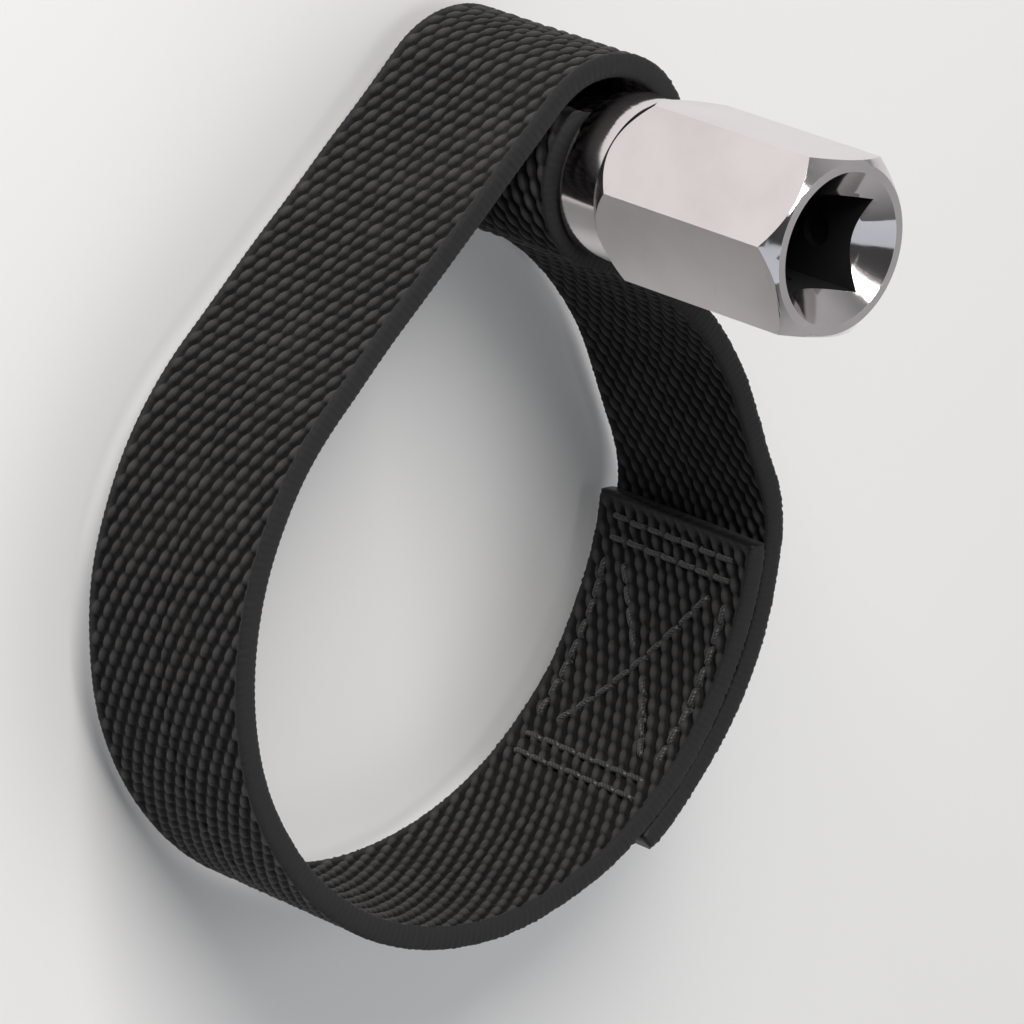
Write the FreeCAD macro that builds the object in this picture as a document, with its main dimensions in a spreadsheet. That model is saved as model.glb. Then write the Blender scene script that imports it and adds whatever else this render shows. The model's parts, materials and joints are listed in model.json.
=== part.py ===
import FreeCAD, Part

# Strap-type oil filter wrench: a webbing loop threaded once through a slotted chrome driver.
#
# Frame, in millimetres: the origin is on the axis of the strap's loop, at the middle of the strap's width.
# +Z runs along that axis towards the driver's square socket, and +Y runs from that axis to the driver's.

import math
import os

from FreeCAD import Vector

SIZES = {
    # webbing
    "can_radius": 46.5,
    "web_width": 31.0,
    "web_thickness": 3.5,
    "lap_start_angle": 40.0,
    "lap_end_angle": -40.0,
    "lap_bend_radius": 20.0,
    # how the webbing is wound on the driver
    "driver_offset": 60.2,
    "winding_gap": 0.25,
    "over_shift": 2.7,
    "mouth_bend_radius": 3.25,
    # driver
    "shank_radius": 9.8,
    "shank_end_wall": 3.0,
    "shank_end_chamfer": 1.2,
    "slot_width": 4.2,
    "slot_turn": 140.0,
    "slot_end_play": 0.5,
    "lip_radius": 1.2,
    "lip_offset": 8.0,
    "neck_radius": 11.7,
    "neck_height": 6.5,
    "hex_flats": 24.0,
    "hex_height": 34.5,
    "hex_turn": 6.0,
    "ring_radius": 11.7,
    "drive_square": 12.7,
    "drive_depth": 19.0,
    "sink_radius": 10.5,
    "sink_depth": 4.5,
    "pilot_radius": 6.1,
    "pilot_depth": 24.0,
    "detent_radius": 2.2,
    "detent_depth": 1.2,
    "detent_height": 10.5,
    # stitches of the lap
    "thread_width": 0.9,
    "thread_proud": 0.45,
    "thread_sunk": 0.15,
    "stitch_length": 2.6,
    "stitch_gap": 0.9,
    "stitch_margin": 3.5,
}

doc = FreeCAD.newDocument("oil_filter_wrench")
sheet = doc.addObject("Spreadsheet::Sheet", "sizes")


def fill_sheet():
    """One row per driving dimension: its name in column A, and its value, with the alias, in column B."""
    for row, (alias, value) in enumerate(SIZES.items(), start=1):
        sheet.set(f"A{row}", alias)
        sheet.set(f"B{row}", str(value))
        sheet.setAlias(f"B{row}", alias)
    doc.recompute()


def size(alias):
    return float(getattr(sheet, alias))


def primitive(kind, name, **expressions):
    """A Part primitive whose properties follow the sheet. A double underscore stands for a dot."""
    made = doc.addObject(kind, name)
    for prop, expression in expressions.items():
        made.setExpression(prop.replace("__", "."), expression)
    return made


def box(name, length, width, height, z, turn="0"):
    """A box centred on the Z axis, from z upwards, turned about Z."""
    return primitive(
        "Part::Box", name, Length=length, Width=width, Height=height,
        Placement__Base__x=f"-({length}) / 2 * cos({turn}) + ({width}) / 2 * sin({turn})",
        Placement__Base__y=f"-({length}) / 2 * sin({turn}) - ({width}) / 2 * cos({turn})",
        Placement__Base__z=z, Placement__Rotation__Angle=turn,
    )


def cylinder(name, radius, height, z, x="0 mm", y="0 mm"):
    return primitive(
        "Part::Cylinder", name, Radius=radius, Height=height,
        Placement__Base__x=x, Placement__Base__y=y, Placement__Base__z=z,
    )


def cone(name, low_radius, high_radius, height, z):
    return primitive(
        "Part::Cone", name, Radius1=low_radius, Radius2=high_radius, Height=height, Placement__Base__z=z
    )


def fuse(name, shapes):
    made = doc.addObject("Part::MultiFuse", name)
    made.Shapes = shapes
    return made


def cut(name, base, tool):
    made = doc.addObject("Part::Cut", name)
    made.Base = base
    made.Tool = tool
    return made


# ---- driver: one turned and milled steel bar, chrome plated

SLOT_LOW = "(-sizes.web_width / 2 - sizes.slot_end_play)"
SLOT_HIGH = "(sizes.web_width / 2 + sizes.slot_end_play)"
SHANK_LOW = f"({SLOT_LOW} - sizes.shank_end_wall)"
HEX_LOW = f"({SLOT_HIGH} + sizes.neck_height)"
HEX_HIGH = f"({HEX_LOW} + sizes.hex_height)"
HEX_CORNER = "(sizes.hex_flats / 2 / cos(30))"
OVERRUN = 1


def hex_end():
    """The hexagon, its corners turned to a long cone at the neck and to a 45 degree cone at the drive end."""
    prism = primitive(
        "Part::Prism", "hex_prism", Circumradius=HEX_CORNER, Height="sizes.hex_height",
        Placement__Base__z=HEX_LOW, Placement__Rotation__Angle="sizes.hex_turn",
    )
    prism.Polygon = 6
    reach = f"({HEX_CORNER} + {OVERRUN} - sizes.ring_radius)"
    low_height = f"({reach} / tan(30))"
    low = cone("hex_neck_cone", "sizes.ring_radius", f"{HEX_CORNER} + {OVERRUN}", low_height, HEX_LOW)
    high = cone(
        "hex_drive_cone", f"{HEX_CORNER} + {OVERRUN}", "sizes.ring_radius", reach, f"{HEX_HIGH} - {reach}"
    )
    middle = cylinder(
        "hex_envelope_middle", f"{HEX_CORNER} + {OVERRUN}", f"sizes.hex_height - {low_height} - {reach}",
        f"{HEX_LOW} + {low_height}",
    )
    common = doc.addObject("Part::MultiCommon", "hex_end")
    common.Shapes = [prism, fuse("hex_envelope", [low, middle, high])]
    return common


def turned_bar():
    """Shank, neck and hexagon in one piece."""
    chamfer_radius = "sizes.shank_radius - sizes.shank_end_chamfer"
    tip = cone("shank_tip", chamfer_radius, "sizes.shank_radius", "sizes.shank_end_chamfer", SHANK_LOW)
    shank = cylinder(
        "shank", "sizes.shank_radius", f"{SLOT_HIGH} - {SHANK_LOW} - sizes.shank_end_chamfer",
        f"{SHANK_LOW} + sizes.shank_end_chamfer",
    )
    neck = cylinder("neck", "sizes.neck_radius", "sizes.neck_height", SLOT_HIGH)
    return fuse("turned_bar", [tip, shank, neck, hex_end()])


def square_socket():
    """The drive square with its countersink, drilled pilot and the four recesses for a detent ball."""
    square = box(
        "drive_square", "sizes.drive_square", "sizes.drive_square", f"sizes.drive_depth + {OVERRUN}",
        f"{HEX_HIGH} - sizes.drive_depth", "sizes.hex_turn",
    )
    sink = cone(
        "countersink", "sizes.sink_radius - sizes.sink_depth", f"sizes.sink_radius + {OVERRUN}",
        f"sizes.sink_depth + {OVERRUN}", f"{HEX_HIGH} - sizes.sink_depth",
    )
    pilot = cylinder(
        "pilot", "sizes.pilot_radius", "sizes.pilot_depth", f"{HEX_HIGH} - sizes.pilot_depth"
    )
    recesses = [detent_recess(name, quarter) for name, quarter in (("detent_a", 0), ("detent_b", 90))]
    return [square, sink, pilot, *recesses]


def detent_recess(name, quarter):
    """A cross hole that stops just inside two opposite walls of the square."""
    length = "(sizes.drive_square + 2 * sizes.detent_depth)"
    turn = f"(sizes.hex_turn + {quarter})"
    made = primitive(
        "Part::Cylinder", name, Radius="sizes.detent_radius", Height=length,
        Placement__Base__x=f"-{length} / 2 * cos({turn})", Placement__Base__y=f"-{length} / 2 * sin({turn})",
        Placement__Base__z=f"{HEX_HIGH} - sizes.detent_height",
    )
    spin = FreeCAD.Rotation(Vector(0, 0, 1), size("hex_turn") + quarter)
    made.Placement.Rotation = spin.multiply(FreeCAD.Rotation(Vector(0, 1, 0), 90))
    return made


def strap_slot():
    """The slot for the webbing, turned about Z, with a rounded lip at each edge of both mouths."""
    height = f"{SLOT_HIGH} - {SLOT_LOW}"
    reach = "(sizes.shank_radius + 2)"
    turn = "sizes.slot_turn"
    passage = box("slot_passage", f"2 * {reach}", "sizes.slot_width", height, SLOT_LOW, turn)
    lip_y = "(sizes.slot_width / 2 + sizes.lip_radius)"
    flare = box("slot_flare", f"2 * {reach}", f"2 * {lip_y}", height, SLOT_LOW, turn)
    core = box("flare_core", "2 * sizes.lip_offset", f"2 * {lip_y}", height, SLOT_LOW, turn)
    lips = [
        cylinder(
            f"lip_{end}_{side}", "sizes.lip_radius", height, SLOT_LOW,
            f"{along} * sizes.lip_offset * cos({turn}) - {across} * {lip_y} * sin({turn})",
            f"{along} * sizes.lip_offset * sin({turn}) + {across} * {lip_y} * cos({turn})",
        )
        for end, along in (("left", 1), ("right", -1))
        for side, across in (("upper", -1), ("lower", 1))
    ]
    mouths = cut("slot_mouths", flare, fuse("lips", [core, *lips]))
    return [passage, mouths]


def driver():
    made = cut("driver", turned_bar(), fuse("driver_cuts", [*square_socket(), *strap_slot()]))
    made.setExpression("Placement.Base.y", "sizes.driver_offset")
    return made


# ---- webbing: one band, lapped and sewn to a loop, drawn as a path in the XY plane


def polar(centre, radius, degrees):
    angle = math.radians(degrees)
    return Vector(centre.x + radius * math.cos(angle), centre.y + radius * math.sin(angle), 0)


def arc(centre, radius, start, end):
    return {"kind": "arc", "centre": centre, "radius": radius, "start": start, "end": end}


def line(first, last):
    return {"kind": "line", "first": first, "last": last}


def side_edge(step, shift):
    """The edge that runs beside one step of the path, shifted to the left of its direction."""
    if step["kind"] == "line":
        along = (step["last"] - step["first"]).normalize()
        across = Vector(-along.y, along.x, 0) * shift
        return Part.LineSegment(step["first"] + across, step["last"] + across).toShape()
    turns_left = step["end"] > step["start"]
    radius = step["radius"] - shift if turns_left else step["radius"] + shift
    stops = (step["start"], (step["start"] + step["end"]) / 2, step["end"])
    return Part.Arc(*[polar(step["centre"], radius, angle) for angle in stops]).toShape()


def band(path):
    """The solid that a path makes at the webbing's thickness and width, centred on the XY plane."""
    half = size("web_thickness") / 2
    left = [side_edge(step, half) for step in path]
    right = [side_edge(step, -half) for step in path]
    first_cap = Part.LineSegment(left[0].valueAt(left[0].FirstParameter),
                                 right[0].valueAt(right[0].FirstParameter)).toShape()
    last_cap = Part.LineSegment(left[-1].valueAt(left[-1].LastParameter),
                                right[-1].valueAt(right[-1].LastParameter)).toShape()
    ordered = Part.__sortEdges__([first_cap, *left, last_cap, *right])
    face = Part.Face(Part.Wire(ordered))
    face.translate(Vector(0, 0, -size("web_width") / 2))
    return face.extrude(Vector(0, 0, size("web_width")))


class Route:
    """Where the webbing's middle line runs."""

    def __init__(self):
        half = size("web_thickness") / 2
        self.loop = Vector(0, 0, 0)
        self.loop_radius = size("can_radius") + half
        self.driver = Vector(0, size("driver_offset"), 0)
        self.under_radius = size("shank_radius") + size("winding_gap") + half
        self.over = self.driver - Vector(size("over_shift"), 0, 0)
        self.over_radius = self.under_radius + size("over_shift")
        self.mouth = size("mouth_bend_radius")

    def leg_angle(self):
        """The straight leg touches the loop and the turn over the driver at this angle from their centres."""
        apart = self.over - self.loop
        cosine = (self.loop_radius - self.over_radius) / apart.Length
        return math.degrees(math.atan2(apart.y, apart.x) + math.acos(cosine))

    def cross_angle(self):
        """How far from upright the webbing crosses from the loop to the driver's underside."""
        return math.degrees(math.acos((self.loop_radius + self.under_radius) / size("driver_offset")))

    def mouth_centres(self):
        """The bend at the right mouth touches the turn over the driver, and the left one the turn under it."""
        shift = size("over_shift")
        out, up = self.slot_directions()
        reach = (self.over_radius - self.mouth) ** 2 - self.mouth**2 - shift**2
        reach -= 2 * self.mouth * shift * up.x
        right_run = shift * out.x + math.sqrt((shift * out.x) ** 2 + reach)
        left_run = math.sqrt(self.under_radius**2 - 2 * self.under_radius * self.mouth)
        return (
            self.driver - out * right_run + up * self.mouth,
            self.driver + out * left_run - up * self.mouth,
        )

    def slot_directions(self):
        """Out of the slot's left mouth, and up from the slot's middle plane."""
        origin = Vector(0, 0, 0)
        return polar(origin, 1, size("slot_turn")), polar(origin, 1, size("slot_turn") - 90)

    def winding(self):
        """Over the driver, in at the slot's right mouth, out at its left one and under the driver to the loop."""
        right, left = self.mouth_centres()
        up = self.slot_directions()[1]
        over_end = self.angle_between(self.over, right)
        under_start = self.angle_between(self.driver, left)
        under_end = 270 - self.cross_angle()
        return [
            arc(self.over, self.over_radius, self.leg_angle(), over_end),
            arc(right, self.mouth, over_end, size("slot_turn") - 270),
            line(right - up * self.mouth, left + up * self.mouth),
            arc(left, self.mouth, size("slot_turn") - 90, under_start),
            arc(self.driver, self.under_radius, under_start, under_end),
            line(polar(self.driver, self.under_radius, under_end),
                 polar(self.loop, self.loop_radius, 90 - self.cross_angle())),
        ]

    def upper_end(self):
        """From the driver's underside down the right side, and out over the other end to make the lap."""
        start = size("lap_start_angle")
        bend = size("lap_bend_radius")
        outer = self.loop_radius + size("web_thickness")
        run = math.sqrt((outer - bend) ** 2 - (self.loop_radius - bend) ** 2)
        first = polar(self.loop, self.loop_radius, start)
        step = polar(self.loop, run, start - 90)
        bend_centre = polar(self.loop, self.loop_radius - bend, start) + step
        return [
            arc(self.loop, self.loop_radius, 90 - self.cross_angle(), start),
            line(first, first + step),
            arc(bend_centre, bend, start, self.lap_top_angle()),
            arc(self.loop, outer, self.lap_top_angle(), size("lap_end_angle")),
        ]

    def lap_top_angle(self):
        """Where the upper end first lies on the lower one."""
        bend = size("lap_bend_radius")
        outer = self.loop_radius + size("web_thickness")
        return size("lap_start_angle") - math.degrees(math.acos((self.loop_radius - bend) / (outer - bend)))

    def lower_end(self):
        """From the lap round the bottom and the left side, and up the straight leg to the driver."""
        return [
            arc(self.loop, self.loop_radius, self.lap_top_angle(), self.leg_angle() - 360),
            line(polar(self.loop, self.loop_radius, self.leg_angle()),
                 polar(self.over, self.over_radius, self.leg_angle())),
        ]

    @staticmethod
    def angle_between(start, end):
        apart = end - start
        return math.degrees(math.atan2(apart.y, apart.x))


def feature(name, shape):
    """A shape that primitives and sketches don't fit: the webbing follows tangents worked out above."""
    made = doc.addObject("Part::Feature", name)
    made.Shape = shape
    made.Placement = FreeCAD.Placement()
    return made


def stitch(angle, z, tilt):
    """One stitch on the lap's outer face, its length along the webbing before it is tilted."""
    face_radius = size("can_radius") + 2 * size("web_thickness")
    length, width = size("stitch_length"), size("thread_width")
    depth = size("thread_sunk") + size("thread_proud")
    made = Part.makeBox(depth, length, width, Vector(-size("thread_sunk"), -length / 2, -width / 2))
    made.rotate(Vector(0, 0, 0), Vector(1, 0, 0), tilt)
    made.translate(Vector(face_radius, 0, z))
    made.rotate(Vector(0, 0, 0), Vector(0, 0, 1), angle)
    return made


def seam(start, end):
    """Stitches in a row between two places on the lap, each place an arc length and a height."""
    pitch = size("stitch_length") + size("stitch_gap")
    run, rise = end[0] - start[0], end[1] - start[1]
    count = max(2, round(math.hypot(run, rise) / pitch))
    tilt = math.degrees(math.atan2(rise, run))
    face_radius = size("can_radius") + 2 * size("web_thickness")
    shares = [(i + 0.5) / count for i in range(count)]
    return [
        stitch(math.degrees((start[0] + run * share) / face_radius), start[1] + rise * share, tilt)
        for share in shares
    ]


def lap_seams(route):
    """A sewn rectangle with both diagonals, and a second row across each end."""
    face_radius = size("can_radius") + 2 * size("web_thickness")
    margin = size("stitch_margin")
    low = math.radians(size("lap_end_angle")) * face_radius + margin
    high = math.radians(route.lap_top_angle()) * face_radius - margin
    top = size("web_width") / 2 - margin
    inner_low, inner_high = low + margin, high - margin
    rows = [
        ((low, -top), (low, top)), ((high, -top), (high, top)),
        ((inner_low, -top), (inner_low, top)), ((inner_high, -top), (inner_high, top)),
        ((inner_low + margin, top), (inner_high - margin, top)),
        ((inner_low + margin, -top), (inner_high - margin, -top)),
        ((inner_low + margin, margin - top), (inner_high - margin, top - margin)),
        ((inner_low + margin, top - margin), (-margin / 2 + (low + high) / 2, margin / 2)),
        ((margin / 2 + (low + high) / 2, -margin / 2), (inner_high - margin, margin - top)),
    ]
    return Part.makeCompound([one for row in rows for one in seam(*row)])


def check(objects):
    """Every object recomputed without an error, and every sub-part has a valid shape."""
    for made in doc.Objects:
        if "Invalid" in made.State or "Error" in made.State:
            raise RuntimeError(f"{made.Label} failed to recompute: {made.State}")
    for made in objects:
        if made.Shape.isNull() or not made.Shape.isValid():
            raise RuntimeError(f"{made.Label} has no valid shape")
        print(f"{made.Label}: {len(made.Shape.Solids)} solids, {made.Shape.Volume:.1f} mm3")


def main():
    fill_sheet()
    route = Route()
    lapped = band(route.upper_end()).fuse(band(route.lower_end()))
    subparts = [
        driver(),
        feature("strap_loop", lapped),
        feature("strap_winding", band(route.winding())),
        feature("lap_stitching", lap_seams(route)),
    ]
    doc.recompute()
    check(subparts)
    os.makedirs("parts", exist_ok=True)
    for made in subparts:
        made.Shape.exportStep(f"parts/{made.Label}.step")


main()
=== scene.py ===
"""Looks of a strap-type oil filter wrench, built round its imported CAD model. Lengths are in metres."""
import json
import math

import bmesh
import bpy
import numpy as np
from mathutils import Matrix, Vector

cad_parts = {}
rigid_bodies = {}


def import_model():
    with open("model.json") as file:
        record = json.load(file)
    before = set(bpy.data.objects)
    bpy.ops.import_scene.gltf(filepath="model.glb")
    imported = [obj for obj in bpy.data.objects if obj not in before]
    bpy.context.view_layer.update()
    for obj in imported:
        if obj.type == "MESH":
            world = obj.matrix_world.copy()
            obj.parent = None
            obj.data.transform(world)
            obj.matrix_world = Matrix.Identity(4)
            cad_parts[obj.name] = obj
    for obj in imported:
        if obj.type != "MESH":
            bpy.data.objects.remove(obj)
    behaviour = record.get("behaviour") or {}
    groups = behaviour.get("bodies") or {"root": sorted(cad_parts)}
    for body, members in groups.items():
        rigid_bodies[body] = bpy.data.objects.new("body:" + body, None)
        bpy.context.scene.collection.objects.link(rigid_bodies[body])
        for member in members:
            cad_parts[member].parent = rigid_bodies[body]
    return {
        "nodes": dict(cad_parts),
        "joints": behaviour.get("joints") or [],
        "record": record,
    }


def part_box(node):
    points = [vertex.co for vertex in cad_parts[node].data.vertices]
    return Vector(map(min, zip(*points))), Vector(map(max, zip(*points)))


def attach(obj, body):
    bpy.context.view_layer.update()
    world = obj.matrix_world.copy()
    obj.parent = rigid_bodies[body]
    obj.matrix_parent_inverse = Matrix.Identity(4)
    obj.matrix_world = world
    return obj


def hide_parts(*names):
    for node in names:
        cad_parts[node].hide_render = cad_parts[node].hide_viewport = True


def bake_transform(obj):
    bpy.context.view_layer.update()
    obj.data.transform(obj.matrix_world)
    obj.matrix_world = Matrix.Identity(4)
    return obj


for leftover in list(bpy.data.objects):
    bpy.data.objects.remove(leftover)
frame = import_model()
bpy.context.view_layer.update()

MM = 0.001
rng = np.random.default_rng(7)


# ---- sizes: from the frame where it states them, and otherwise the CAD model's own

hinge = frame["joints"][0]
clamp = next(m for m in frame["record"]["mounts"] if m["name"] == "filter_clamp")
CAN_RADIUS = clamp["dims"]["r_mm"] * MM
WEB_WIDTH = clamp["dims"]["length_mm"] * MM
WEB_THICKNESS = 3.5 * MM
LAP_START, LAP_END = 40.0, -40.0
LAP_BEND = 20 * MM
DRIVER_OFFSET = hinge["pos_m"][1]
SHANK_RADIUS, SHANK_CLEARANCE = 9.8 * MM, 0.25 * MM
UNDER_RADIUS = SHANK_RADIUS + SHANK_CLEARANCE + WEB_THICKNESS / 2
OVER_SHIFT = 2.7 * MM
MOUTH_BEND = 3.25 * MM
SLOT_TURN = 140.0
FLOOR_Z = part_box("driver")[0].z


# ---- camera: rolled, so that the loop's axis points to the lower right

CAMERA_AZIMUTH, CAMERA_ELEVATION, CAMERA_ROLL = math.radians(-101), math.radians(42), math.radians(111.3)
CAMERA_DISTANCE = 1.06
CAMERA_TARGET = Vector((-4.0, 12.3, 15.0)) * MM
SENSOR_WIDTH = 36
LENS_IN_IMAGE_WIDTHS = 7.65
CLIP_NEAR, CLIP_FAR = 0.05, 20


def make_camera():
    data = bpy.data.cameras.new("camera")
    data.sensor_width = SENSOR_WIDTH
    data.lens = SENSOR_WIDTH * LENS_IN_IMAGE_WIDTHS
    data.clip_start, data.clip_end = CLIP_NEAR, CLIP_FAR
    made = bpy.data.objects.new("camera", data)
    flat = math.cos(CAMERA_ELEVATION)
    back = Vector((
        math.sin(CAMERA_AZIMUTH) * flat,
        -math.cos(CAMERA_AZIMUTH) * flat,
        math.sin(CAMERA_ELEVATION),
    ))
    level = Vector((0, 0, 1)).cross(back).normalized()
    upright = back.cross(level)
    across = math.cos(CAMERA_ROLL) * level + math.sin(CAMERA_ROLL) * upright
    up = back.cross(across)
    turn = Matrix((across, up, back)).transposed()
    made.matrix_world = Matrix.Translation(CAMERA_TARGET + back * CAMERA_DISTANCE) @ turn.to_4x4()
    bpy.context.collection.objects.link(made)
    bpy.context.scene.camera = made


# ---- node helpers


def new_material(name, fixed):
    """A material with its shader's fixed inputs set, and short ways to add a node and drive an input."""
    made = bpy.data.materials.new(name)
    made.use_nodes = True
    nodes, links = made.node_tree.nodes, made.node_tree.links
    shader = nodes["Principled BSDF"]
    for key, value in fixed.items():
        shader.inputs[key].default_value = value

    def add(kind, inputs=None, **settings):
        node = nodes.new(kind)
        for key, value in settings.items():
            setattr(node, key, value)
        for key, value in (inputs or {}).items():
            socket = node.inputs[key]
            if isinstance(value, bpy.types.NodeSocket):
                links.new(value, socket)
            else:
                socket.default_value = value
        return node

    def drive(key, value):
        links.new(value, shader.inputs[key])

    return made, add, drive


def ramp(add, value, stops):
    """A colour ramp through grey levels or colours, each stop a position and a value."""
    node = add("ShaderNodeValToRGB", {"Fac": value})
    elements = node.color_ramp.elements
    while len(elements) < len(stops):
        elements.new(0.5)
    for element, (position, level) in zip(elements, stops, strict=True):
        element.position = position
        element.color = (*level, 1) if isinstance(level, tuple) else (level, level, level, 1)
    return node.outputs["Color"]


def object_place(add, scale=(1, 1, 1)):
    """The rest position in the row frame, scaled."""
    place = add("ShaderNodeTexCoord").outputs["Object"]
    return add("ShaderNodeMapping", {"Vector": place, "Scale": scale}).outputs["Vector"]


def noise(add, vector, scale, detail):
    inputs = {"Vector": vector, "Scale": scale, "Detail": detail, "Roughness": 0.55}
    return add("ShaderNodeTexNoise", inputs).outputs["Fac"]


def calculate(add, operation, first, second):
    return add("ShaderNodeMath", {0: first, 1: second}, operation=operation).outputs[0]


def mix_colour(add, factor, first, second, mode="MIX"):
    """A colour mix. Blender's Mix node keeps its colour sockets at 6 and 7, and its colour result at 2."""
    node = add("ShaderNodeMix", {0: factor, 6: first, 7: second}, data_type="RGBA", blend_type=mode)
    return node.outputs[2]


def painted(add, name):
    """A value that the mesh holds for each of its points or faces."""
    return add("ShaderNodeAttribute", attribute_name=name).outputs["Fac"]


def bump(add, height, strength, distance):
    inputs = {"Height": height, "Strength": strength, "Distance": distance}
    return add("ShaderNodeBump", inputs).outputs["Normal"]


# ---- materials

# The yarn's colour by depth below its crowns: its own grey on the crowns, and painted shade down to black in
# the gaps.
YARN_AND_GAP_SHADE_BY_DEPTH = [(0.0, (0.053, 0.050, 0.049)), (0.34, (0.024, 0.023, 0.024)), (0.60, (0.001, 0.001, 0.001))]
DUST_COLOUR = (0.16, 0.145, 0.125, 1)
# Painted shade on the rounded selvedges, darker than the woven faces.
SELVEDGE_SHADE_COLOUR = (0.017, 0.017, 0.018, 1)
SEARED_COLOUR = (0.010, 0.010, 0.011, 1)
CHROME_BY_HAZE = [(0.3, (0.70, 0.655, 0.655)), (0.7, (0.79, 0.745, 0.742))]
BORE_COLOUR = (0.045, 0.044, 0.046, 1)
BORE_ROUGHNESS = 0.55


def make_webbing():
    """Black nylon: grey on the yarn's crowns and painted shade, down to black, in its gaps, with fine fibres
    and a little dust.
    """
    fixed = {"Sheen Weight": 0.06, "Sheen Roughness": 0.5, "Specular IOR Level": 0.22}
    made, add, drive = new_material("black_nylon_webbing", fixed)
    sear = painted(add, "sear")
    uv = add("ShaderNodeTexCoord").outputs["UV"]
    fibre_place = add("ShaderNodeMapping", {"Vector": uv, "Rotation": (0, 0, 0.35), "Scale": (0.5, 5.0, 1)})
    fibres = noise(add, fibre_place.outputs["Vector"], 2.4, 3)
    # Painted shade: the deeper the weave's relief, the darker the yarn, down to black in the gaps.
    yarn_and_gap_shade = ramp(add, painted(add, "relief"), YARN_AND_GAP_SHADE_BY_DEPTH)
    tint = ramp(add, fibres, [(0.3, 0.68), (0.72, 1.35)])
    yarn = mix_colour(add, 1.0, yarn_and_gap_shade, tint, "MULTIPLY")
    place = object_place(add)
    dust_mask = calculate(add, "MULTIPLY", noise(add, place, 420, 4), noise(add, place, 45, 3))
    dust = ramp(add, dust_mask, [(0.24, 0.0), (0.50, 0.08)])
    dusty = mix_colour(add, dust, yarn, DUST_COLOUR)
    # Painted shade: the selvedges are painted darker than the faces.
    selvedge_shaded = mix_colour(add, painted(add, "selvedge"), dusty, SELVEDGE_SHADE_COLOUR)
    drive("Base Color", mix_colour(add, sear, selvedge_shaded, SEARED_COLOUR))
    drive("Roughness", ramp(add, sear, [(0.0, 0.72), (1.0, 0.34)]))
    drive("Normal", bump(add, fibres, 0.5, 0.12 * MM))
    return made


def make_thread():
    """Bonded thread, with its plies' twist."""
    made, add, drive = new_material("black_bonded_thread", {"Roughness": 0.42, "Sheen Weight": 0.2})
    uv = add("ShaderNodeTexCoord").outputs["UV"]
    wave = {"Vector": uv, "Scale": 1.1, "Distortion": 0.4}
    twist = add("ShaderNodeTexWave", wave, bands_direction="DIAGONAL").outputs["Fac"]
    drive("Base Color", ramp(add, twist, [(0.2, 0.012), (0.8, 0.055)]))
    drive("Normal", bump(add, twist, 0.6, 0.1 * MM))
    return made


def make_chrome():
    """Polished chrome with faint tool marks, fine scratches and slight haze, and a dull dark socket."""
    made, add, drive = new_material("polished_chrome", {"Metallic": 1.0})
    haze = noise(add, object_place(add), 90, 5)
    drag = noise(add, object_place(add, (1, 1, 0.05)), 900, 3)
    scuffs = noise(add, object_place(add, (0.3, 0.3, 2.5)), 700, 2)
    bore = painted(add, "bore")
    drive("Base Color", mix_colour(add, bore, ramp(add, haze, CHROME_BY_HAZE), BORE_COLOUR))
    smudge = ramp(add, haze, [(0.40, 0.055), (0.72, 0.150)])
    scratch = ramp(add, scuffs, [(0.66, 0.0), (0.74, 0.12)])
    unplated = calculate(add, "MULTIPLY", bore, BORE_ROUGHNESS)
    drive("Roughness", calculate(add, "ADD", calculate(add, "ADD", smudge, scratch), unplated))
    drive("Normal", bump(add, drag, 0.10, 0.02 * MM))
    return made


def make_floor_material():
    made, add, drive = new_material("pale_floor", {"Roughness": 0.9, "Specular IOR Level": 0.1})
    drive("Base Color", ramp(add, noise(add, object_place(add), 3, 2), [(0.3, 0.86), (0.7, 0.89)]))
    return made


# ---- the webbing's route: arcs and straight runs in the XY plane, from its upper end to its lower end


def polar(centre, radius, degrees):
    angle = math.radians(degrees)
    return np.array((centre[0] + radius * math.cos(angle), centre[1] + radius * math.sin(angle)))


def heading(start, end):
    apart = end - start
    return math.degrees(math.atan2(apart[1], apart[0]))


def arc(centre, radius, start, end):
    """A step of the route: its length, and where it is and what is to its right at a share of it."""
    sign = 1 if end > start else -1

    def at(share):
        degrees = start + (end - start) * share
        return polar(centre, radius, degrees), sign * polar((0, 0), 1, degrees)

    return radius * math.radians(abs(end - start)), at


def run(first, last):
    """A straight step of the route, with the same two results."""
    length = float(np.linalg.norm(last - first))
    along = (last - first) / length
    right = np.array((along[1], -along[0]))

    def at(share):
        return first + (last - first) * share, right

    return length, at


LOOP = np.zeros(2)
DRIVER = np.array((0, DRIVER_OFFSET))
LOOP_RADIUS = CAN_RADIUS + WEB_THICKNESS / 2
OVER = DRIVER - np.array((OVER_SHIFT, 0))
OVER_RADIUS = UNDER_RADIUS + OVER_SHIFT
CROSS_ANGLE = math.degrees(math.acos((LOOP_RADIUS + UNDER_RADIUS) / DRIVER_OFFSET))
LEG_LEAN = math.degrees(math.acos((LOOP_RADIUS - OVER_RADIUS) / np.linalg.norm(OVER)))
LEG_ANGLE = heading(LOOP, OVER) + LEG_LEAN
LAP_RADIUS = LOOP_RADIUS + WEB_THICKNESS
LAP_OUTSIDE = CAN_RADIUS + 2 * WEB_THICKNESS
LAP_TOP = LAP_START - math.degrees(math.acos((LOOP_RADIUS - LAP_BEND) / (LAP_RADIUS - LAP_BEND)))


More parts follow.
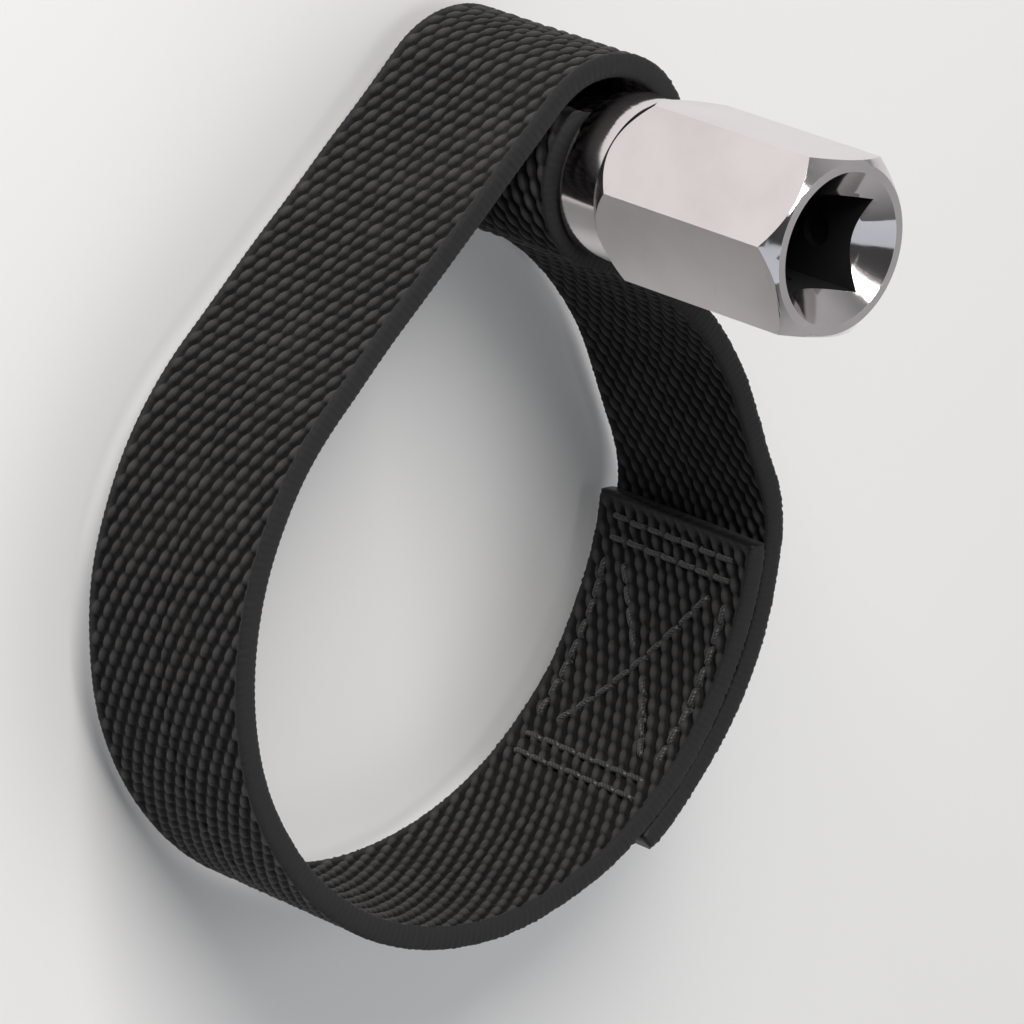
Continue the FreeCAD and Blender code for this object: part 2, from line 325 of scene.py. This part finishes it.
def webbing_route():
    """From the lap's outer end up to the driver, under it, through its slot, over it, and round to the lap."""
    out, up = polar(LOOP, 1, SLOT_TURN), polar(LOOP, MOUTH_BEND, SLOT_TURN - 90)
    shift = OVER_SHIFT * out[0]
    reach = (OVER_RADIUS - MOUTH_BEND) ** 2 - MOUTH_BEND**2 - OVER_SHIFT**2 - 2 * OVER_SHIFT * up[0]
    right = DRIVER - out * (shift + math.sqrt(shift**2 + reach)) + up
    left = DRIVER + out * math.sqrt(UNDER_RADIUS**2 - 2 * UNDER_RADIUS * MOUTH_BEND) - up
    over_end = heading(OVER, right)
    under_start = heading(DRIVER, left)
    under_end = 270 - CROSS_ANGLE
    bend_run = math.sqrt((LAP_RADIUS - LAP_BEND) ** 2 - (LOOP_RADIUS - LAP_BEND) ** 2)
    bend_step = polar(LOOP, bend_run, LAP_START - 90)
    bend_centre = polar(LOOP, LOOP_RADIUS - LAP_BEND, LAP_START) + bend_step
    ramp_end = polar(LOOP, LOOP_RADIUS, LAP_START)
    return [
        arc(LOOP, LAP_RADIUS, LAP_END, LAP_TOP),
        arc(bend_centre, LAP_BEND, LAP_TOP, LAP_START),
        run(ramp_end + bend_step, ramp_end),
        arc(LOOP, LOOP_RADIUS, LAP_START, 90 - CROSS_ANGLE),
        run(polar(LOOP, LOOP_RADIUS, 90 - CROSS_ANGLE), polar(DRIVER, UNDER_RADIUS, under_end)),
        arc(DRIVER, UNDER_RADIUS, under_end, under_start),
        arc(left, MOUTH_BEND, under_start, SLOT_TURN - 90),
        run(left + up, right - up),
        arc(right, MOUTH_BEND, SLOT_TURN - 270, over_end),
        arc(OVER, OVER_RADIUS, over_end, LEG_ANGLE),
        run(polar(OVER, OVER_RADIUS, LEG_ANGLE), polar(LOOP, LOOP_RADIUS, LEG_ANGLE)),
        arc(LOOP, LOOP_RADIUS, LEG_ANGLE, 360 + LAP_TOP),
    ]


def walk(route, step):
    """Evenly spaced places along the route: distance, position and right-hand direction."""
    lengths = [length for length, _ in route]
    total = sum(lengths)
    count = round(total / step)
    distances = np.linspace(0, total, count + 1)
    ends = np.cumsum(lengths)
    places, rights = [], []
    for distance in distances:
        index = min(int(np.searchsorted(ends, distance)), len(route) - 1)
        length, at = route[index]
        place, right = at((distance - ends[index] + length) / length)
        places.append(place)
        rights.append(right)
    return distances, np.array(places), np.array(rights)


# ---- the webbing's weave, as relief in its surface

GRAIN_COLUMNS = 13
WEAVE_MARGINS = 0.7 * MM
COLUMN_PITCH = (WEB_WIDTH - WEAVE_MARGINS) / GRAIN_COLUMNS
ROW_PITCH = 2.15 * MM
ROW_SKEW = 0.116
GRAIN_HALF_LENGTH, GRAIN_HALF_WIDTH, GRAIN_HEIGHT = 1.54 * MM, 0.83 * MM, 0.85 * MM
GRAIN_TILT = math.radians(26)
GRAIN_CROWN_POWER = 0.6
GRAIN_FULLNESS = np.random.default_rng(11).uniform(0.90, 1.04, (400, 40))
SAMPLES_ACROSS, SAMPLES_ALONG = 7, 6


def weave(along, across, shift):
    """How far the surface lies below the crowns of the tilted yarn, and that as a share of the most."""
    column = across / COLUMN_PITCH + 0.5 * (GRAIN_COLUMNS + 1)
    row = (along + ROW_SKEW * across) / ROW_PITCH + shift
    near_row = np.round(row).astype(int)
    table_rows, table_columns = GRAIN_FULLNESS.shape
    highest = np.zeros_like(column)
    for row_step in (-1, 0, 1):
        here_row = near_row + row_step
        stagger = 0.5 * (here_row % 2)
        near_column = np.round(column - stagger).astype(int)
        for column_step in (-1, 0, 1):
            here_column = near_column + column_step
            off_column = (column - here_column - stagger) * COLUMN_PITCH
            off_row = (row - here_row) * ROW_PITCH
            lengthways = off_column * math.sin(GRAIN_TILT) - off_row * math.cos(GRAIN_TILT)
            sideways = off_column * math.cos(GRAIN_TILT) + off_row * math.sin(GRAIN_TILT)
            full = GRAIN_FULLNESS[here_row % table_rows, here_column % table_columns]
            away = (lengthways / GRAIN_HALF_LENGTH) ** 2 + (sideways / (GRAIN_HALF_WIDTH * full)) ** 2
            highest = np.maximum(highest, np.clip(1 - away, 0, 1) ** GRAIN_CROWN_POWER * full)
    share = np.clip(1 - highest, 0, 1)
    return share * GRAIN_HEIGHT, share


# ---- the webbing itself

EDGE_ROUND = 0.8 * MM
EDGE_POINTS = 9
EDGE_ACROSS_POWER, EDGE_DEPTH_POWER = 0.75, 0.8
EDGE_INSET = 0.16 * MM
EDGE_FUZZ = 0.035 * MM
EDGE_RIB = 0.07 * MM
WEAVE_FADE, WEAVE_AT_EDGE = 0.6 * MM, 0.2
SEAR_LENGTH, SEAR_THINNING = 1.6 * MM, 0.18
FACE_CLEARANCE = 0.02 * MM
SWAY, SWAY_LENGTHS = 0.16 * MM, (61 * MM, 37 * MM, 23 * MM)
SWELL, SWELL_LENGTHS = 0.004, (29 * MM, 17 * MM)


def section_points():
    """Round the webbing's section: position across, share of the half thickness, and how woven it is."""
    flat_half = WEB_WIDTH / 2 - EDGE_ROUND
    count = round(2 * flat_half / (COLUMN_PITCH / SAMPLES_ACROSS))
    flat = np.linspace(-flat_half, flat_half, count + 1)
    angles = np.linspace(math.pi / 2, -math.pi / 2, EDGE_POINTS + 2)[1:-1]
    edge_across = flat_half + EDGE_ROUND * np.abs(np.cos(angles)) ** EDGE_ACROSS_POWER
    edge_depth = np.sign(np.sin(angles)) * np.abs(np.sin(angles)) ** EDGE_DEPTH_POWER
    across = np.concatenate([flat, edge_across, flat[::-1], -edge_across])
    depth = np.concatenate([np.ones_like(flat), edge_depth, -np.ones_like(flat), -edge_depth])
    inside = np.clip((flat_half - np.abs(flat)) / WEAVE_FADE, 0, 1)
    fade = inside * (1 - WEAVE_AT_EDGE) + WEAVE_AT_EDGE
    no_weave = np.zeros(EDGE_POINTS)
    woven = np.concatenate([fade, no_weave, fade[::-1], no_weave])
    return across, depth, woven, len(flat)


def slow_wave(distances, amplitude, lengths):
    """A gentle unevenness along the webbing, from a few waves that don't repeat together."""
    phases = rng.uniform(0, 2 * math.pi, len(lengths))
    waves = [
        np.sin(2 * math.pi * distances / length + phase)
        for length, phase in zip(lengths, phases, strict=True)
    ]
    return amplitude * sum(waves) / len(lengths)


def make_mesh(name, points, faces, material, smooth=True):
    mesh = bpy.data.meshes.new(name)
    mesh.from_pydata(np.asarray(points).tolist(), [], faces)
    mesh.polygons.foreach_set("use_smooth", [smooth] * len(mesh.polygons))
    mesh.materials.append(material)
    made = bpy.data.objects.new(name, mesh)
    bpy.context.collection.objects.link(made)
    return made


def paint(mesh, name, values, domain="POINT"):
    mesh.attributes.new(name, "FLOAT", domain).data.foreach_set("value", np.asarray(values, np.float32))


def set_uv(mesh, by_vertex):
    layer = mesh.uv_layers.new(name="along_and_across")
    corners = np.empty(len(mesh.loops), np.int32)
    mesh.loops.foreach_get("vertex_index", corners)
    layer.data.foreach_set("uv", by_vertex[corners].astype(np.float32).ravel())


def webbing_band(material):
    """One band from end to end: two woven faces, two rounded selvedges and two heat-sealed ends."""
    distances, places, rights = walk(webbing_route(), ROW_PITCH / SAMPLES_ALONG)
    across, side, woven, flat_count = section_points()
    rows, ring = len(distances), len(across)
    along_grid, across_grid = np.meshgrid(distances, across, indexing="ij")
    shift = np.where(side > 0, 0.0, 0.5)
    depth, share = weave(along_grid, across_grid, shift[None, :])
    from_end = np.minimum(distances, distances[-1] - distances)
    seared = np.clip(1 - from_end / SEAR_LENGTH, 0, 1) ** 0.5
    fade = woven[None, :] * (1 - seared[:, None])
    depth, share = depth * fade, share * fade
    half = (WEB_THICKNESS / 2 - FACE_CLEARANCE) * (1 - SEAR_THINNING * seared**2)
    out = side[None, :] * (half[:, None] - depth)
    at_edge = woven[None, :] < 0.5
    fuzz = EDGE_FUZZ * rng.standard_normal((rows, ring)) * at_edge
    ribs = EDGE_RIB * (1 + np.sin(4 * math.pi * along_grid / ROW_PITCH)) * at_edge
    sway = slow_wave(distances, SWAY, SWAY_LENGTHS)
    swell = 1 + slow_wave(distances, SWELL, SWELL_LENGTHS)
    points = np.empty((rows, ring, 3))
    points[..., :2] = places[:, None, :] + rights[:, None, :] * (out + fuzz)[..., None]
    inset = np.sign(across_grid) * (EDGE_INSET + ribs)
    points[..., 2] = (across_grid - inset) * swell[:, None] + sway[:, None] + fuzz
    index = np.arange(rows * ring).reshape(rows, ring)
    turned = np.roll(index, -1, axis=1)
    walls = np.stack([index[:-1], index[1:], turned[1:], turned[:-1]], axis=-1).reshape(-1, 4)
    first_cap = cap_faces(index[0].tolist(), flat_count)
    last_cap = [face[::-1] for face in cap_faces(index[-1].tolist(), flat_count)]
    faces = [*walls.tolist(), *first_cap, *last_cap]
    made = make_mesh("webbing_strap", points.reshape(-1, 3), faces, material)
    paint(made.data, "relief", share.ravel())
    paint(made.data, "sear", np.repeat(seared, ring))
    paint(made.data, "selvedge", np.tile(1 - woven, rows))
    set_uv(made.data, np.stack([along_grid, across_grid], axis=-1).reshape(-1, 2) / MM)
    return made


def cap_faces(ring, flat_count):
    """Closes one end: quads between the two faces' edges, and one polygon at each selvedge."""
    front = ring[:flat_count]
    high = ring[flat_count : flat_count + EDGE_POINTS]
    back = ring[flat_count + EDGE_POINTS : 2 * flat_count + EDGE_POINTS][::-1]
    low = ring[2 * flat_count + EDGE_POINTS :]
    quads = [[front[i], front[i + 1], back[i + 1], back[i]] for i in range(flat_count - 1)]
    return [*quads, [front[-1], *high, back[-1]], [back[0], *low, front[0]]]


# ---- stitches of the lap

STITCH_LENGTH, STITCH_GAP, STITCH_MARGIN = 2.6 * MM, 0.9 * MM, 3.5 * MM
STITCH_OVERRUN, STITCH_SCATTER = 0.5 * MM, 0.06 * MM
STITCH_RISE, STITCH_DIVE, INNER_SINK = 0.10 * MM, 0.75 * MM, 0.30 * MM
STITCH_STEPS = 9
THREAD_RADIUS, THREAD_SIDES = 0.42 * MM, 8


def lap_rows():
    """Ends of each sewn row, as arc length on the lap's outer face and height."""
    gap = STITCH_MARGIN
    low = math.radians(LAP_END) * LAP_OUTSIDE + gap
    high = math.radians(LAP_TOP) * LAP_OUTSIDE - gap
    top = WEB_WIDTH / 2 - gap
    inner_low, inner_high = low + gap, high - gap
    middle = (low + high) / 2
    return [
        ((low, -top), (low, top)),
        ((high, -top), (high, top)),
        ((inner_low, -top), (inner_low, top)),
        ((inner_high, -top), (inner_high, top)),
        ((inner_low + gap, top), (inner_high - gap, top)),
        ((inner_low + gap, -top), (inner_high - gap, -top)),
        ((inner_low + gap, gap - top), (inner_high - gap, top - gap)),
        ((inner_low + gap, top - gap), (middle - gap / 2, gap / 2)),
        ((middle + gap / 2, -gap / 2), (inner_high - gap, gap - top)),
    ]


def stitch_ends():
    """Every stitch's two ends on the lap, a little uneven as a sewing machine leaves them."""
    for start, end in lap_rows():
        start, end = np.array(start), np.array(end)
        length = np.linalg.norm(end - start)
        count = max(2, round(length / (STITCH_LENGTH + STITCH_GAP)))
        reach = (end - start) / length * (STITCH_LENGTH + STITCH_OVERRUN) / 2
        for number in range(count):
            centre = start + (end - start) * (number + 0.5) / count + rng.normal(0, STITCH_SCATTER, 2)
            yield centre - reach, centre + reach


def thread_tube(line):
    """Points and faces of a round thread along a line of points, closed at both ends."""
    tangents = np.gradient(line, axis=0)
    tangents /= np.linalg.norm(tangents, axis=1)[:, None]
    outward = line * (1, 1, 0)
    outward /= np.linalg.norm(outward, axis=1)[:, None]
    sideways = np.cross(tangents, outward)
    sideways /= np.linalg.norm(sideways, axis=1)[:, None]
    upward = np.cross(sideways, tangents)
    angles = np.linspace(0, 2 * math.pi, THREAD_SIDES, endpoint=False)[None, :, None]
    circle = np.cos(angles) * sideways[:, None] + np.sin(angles) * upward[:, None]
    points = line[:, None] + THREAD_RADIUS * circle
    index = np.arange(len(line) * THREAD_SIDES).reshape(len(line), THREAD_SIDES)
    turned = np.roll(index, -1, axis=1)
    walls = np.stack([index[:-1], turned[:-1], turned[1:], index[1:]], axis=-1).reshape(-1, 4).tolist()
    return points.reshape(-1, 3), [*walls, index[0][::-1].tolist(), index[-1].tolist()]


def lap_thread(material):
    """Stitches on the lap's outer face, and their other side on the face against the can."""
    points, faces, uvs, offset = [], [], [], 0
    share = np.linspace(0, 1, STITCH_STEPS)
    arch = STITCH_RISE - STITCH_DIVE * np.abs(2 * share - 1) ** 6
    around = np.tile(np.linspace(0, 2, THREAD_SIDES), STITCH_STEPS)
    uv = np.stack([np.repeat(share * 3, THREAD_SIDES), around], axis=1)
    for start, end in stitch_ends():
        spot = start[None] + (end - start)[None] * share[:, None]
        angle = spot[:, 0] / LAP_OUTSIDE
        for radius in (LAP_OUTSIDE + arch, CAN_RADIUS - (arch - INNER_SINK)):
            line = np.stack([radius * np.cos(angle), radius * np.sin(angle), spot[:, 1]], axis=1)
            tube, walls = thread_tube(line)
            points.append(tube)
            faces += [[corner + offset for corner in face] for face in walls]
            uvs.append(uv)
            offset += len(tube)
    made = make_mesh("lap_thread", np.concatenate(points), faces, material)
    set_uv(made.data, np.concatenate(uvs))
    return made


# ---- driver: the CAD solid with its flats rejoined and every sharp edge softly rounded

WELD_DISTANCE = 0.001 * MM
FLAT_ANGLE = math.radians(0.4)
SHARP_ANGLE = math.radians(24)
SHADING_ANGLE = math.radians(32)
EDGE_WIDTH = 0.22 * MM
BORE_RADIUS = 9.2 * MM
BORE_MOUTH = 6 * MM
UPRIGHT = 0.4


def driver_bar(material):
    bm = bmesh.new()
    bm.from_mesh(frame["nodes"]["driver"].data)
    bmesh.ops.remove_doubles(bm, verts=bm.verts, dist=WELD_DISTANCE)
    bmesh.ops.dissolve_limit(bm, angle_limit=FLAT_ANGLE, verts=bm.verts, edges=bm.edges)
    sharp = [edge for edge in bm.edges if edge.is_manifold and edge.calc_face_angle() > SHARP_ANGLE]
    bmesh.ops.bevel(
        bm, geom=sharp, offset=EDGE_WIDTH, offset_type="OFFSET", segments=3, profile=0.5,
        affect="EDGES", clamp_overlap=True, harden_normals=False,
    )
    bmesh.ops.triangulate(bm, faces=[face for face in bm.faces if len(face.verts) > 4])
    mesh = bpy.data.meshes.new("driver_bar")
    bm.to_mesh(mesh)
    bm.free()
    mesh.polygons.foreach_set("use_smooth", [True] * len(mesh.polygons))
    mesh.set_sharp_from_angle(angle=SHADING_ANGLE)
    mark_bore(mesh)
    mesh.materials.append(material)
    made = bpy.data.objects.new("driver_bar", mesh)
    bpy.context.collection.objects.link(made)
    weighted = made.modifiers.new("even_normals", "WEIGHTED_NORMAL")
    weighted.keep_sharp = True
    return made


def mark_bore(mesh):
    """The walls of the drive square and of the drilled hole below it, which are painted dark and made duller.
    """
    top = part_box("driver")[1].z
    inside = []
    for face in mesh.polygons:
        near = math.hypot(face.center.x, face.center.y - DRIVER_OFFSET) < BORE_RADIUS
        deep = face.center.z < top - BORE_MOUTH
        upright = abs(face.normal.z) < UPRIGHT
        inside.append(1.0 if near and face.center.z > top / 2 and (deep or upright) else 0.0)
    paint(mesh, "bore", inside, "FACE")


# ---- studio

STUDIO_MIDDLE = (0, 0.02, 0)
FLOOR_HALF = 3.0
FLOOR_GAP = 0.05 * MM


def area_light(name, place, size, power, tint=(1, 1, 1)):
    """A square light of a given size and power, aimed at the middle of the studio."""
    data = bpy.data.lights.new(name, "AREA")
    data.shape = "RECTANGLE"
    data.size, data.size_y = size, size
    data.energy = power
    data.color = tint
    made = bpy.data.objects.new(name, data)
    made.location = place
    made.rotation_euler = (Vector(STUDIO_MIDDLE) - Vector(place)).to_track_quat("-Z", "Y").to_euler()
    bpy.context.collection.objects.link(made)


def make_lights():
    area_light("key", (-0.75, 0.95, 0.80), 0.7, 20, (1.0, 0.965, 0.93))
    area_light("fill", (-0.9, -0.7, 0.8), 0.9, 1.6, (0.84, 0.91, 1.0))
    area_light("top", (0.35, 0.1, 1.5), 1.2, 5.0)


def make_world():
    """Soft surroundings: pale on the far side and dark on the camera's, so that chrome has contrast."""
    world = bpy.data.worlds.new("studio")
    world.use_nodes = True
    bpy.context.scene.world = world
    nodes, links = world.node_tree.nodes, world.node_tree.links
    place = nodes.new("ShaderNodeTexCoord")
    split = nodes.new("ShaderNodeSeparateXYZ")
    links.new(place.outputs["Generated"], split.inputs[0])
    grade = nodes.new("ShaderNodeMapRange")
    grade.interpolation_type = "SMOOTHSTEP"
    links.new(split.outputs["X"], grade.inputs["Value"])
    for key, value in (("From Min", -0.8), ("From Max", 0.6), ("To Min", 0.05), ("To Max", 0.42)):
        grade.inputs[key].default_value = value
    links.new(grade.outputs["Result"], nodes["Background"].inputs["Strength"])
    nodes["Background"].inputs["Color"].default_value = (0.97, 0.98, 1.0, 1)


def make_floor(material):
    signs = ((-1, -1), (1, -1), (1, 1), (-1, 1))
    corners = [(x * FLOOR_HALF, y * FLOOR_HALF, 0) for x, y in signs]
    floor = make_mesh("floor", corners, [[0, 1, 2, 3]], material, smooth=False)
    floor.location.z = FLOOR_Z - FLOOR_GAP


# ---- build

make_camera()
make_world()
make_floor(make_floor_material())
make_lights()
bpy.context.scene.view_settings.view_transform = "Standard"

strap = webbing_band(make_webbing())
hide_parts("strap_loop", "strap_winding")
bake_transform(strap)

thread = lap_thread(make_thread())
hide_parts("lap_stitching")
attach(thread, "strap")

bar = driver_bar(make_chrome())
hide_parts("driver")
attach(bar, "driver")

bpy.context.view_layer.update()
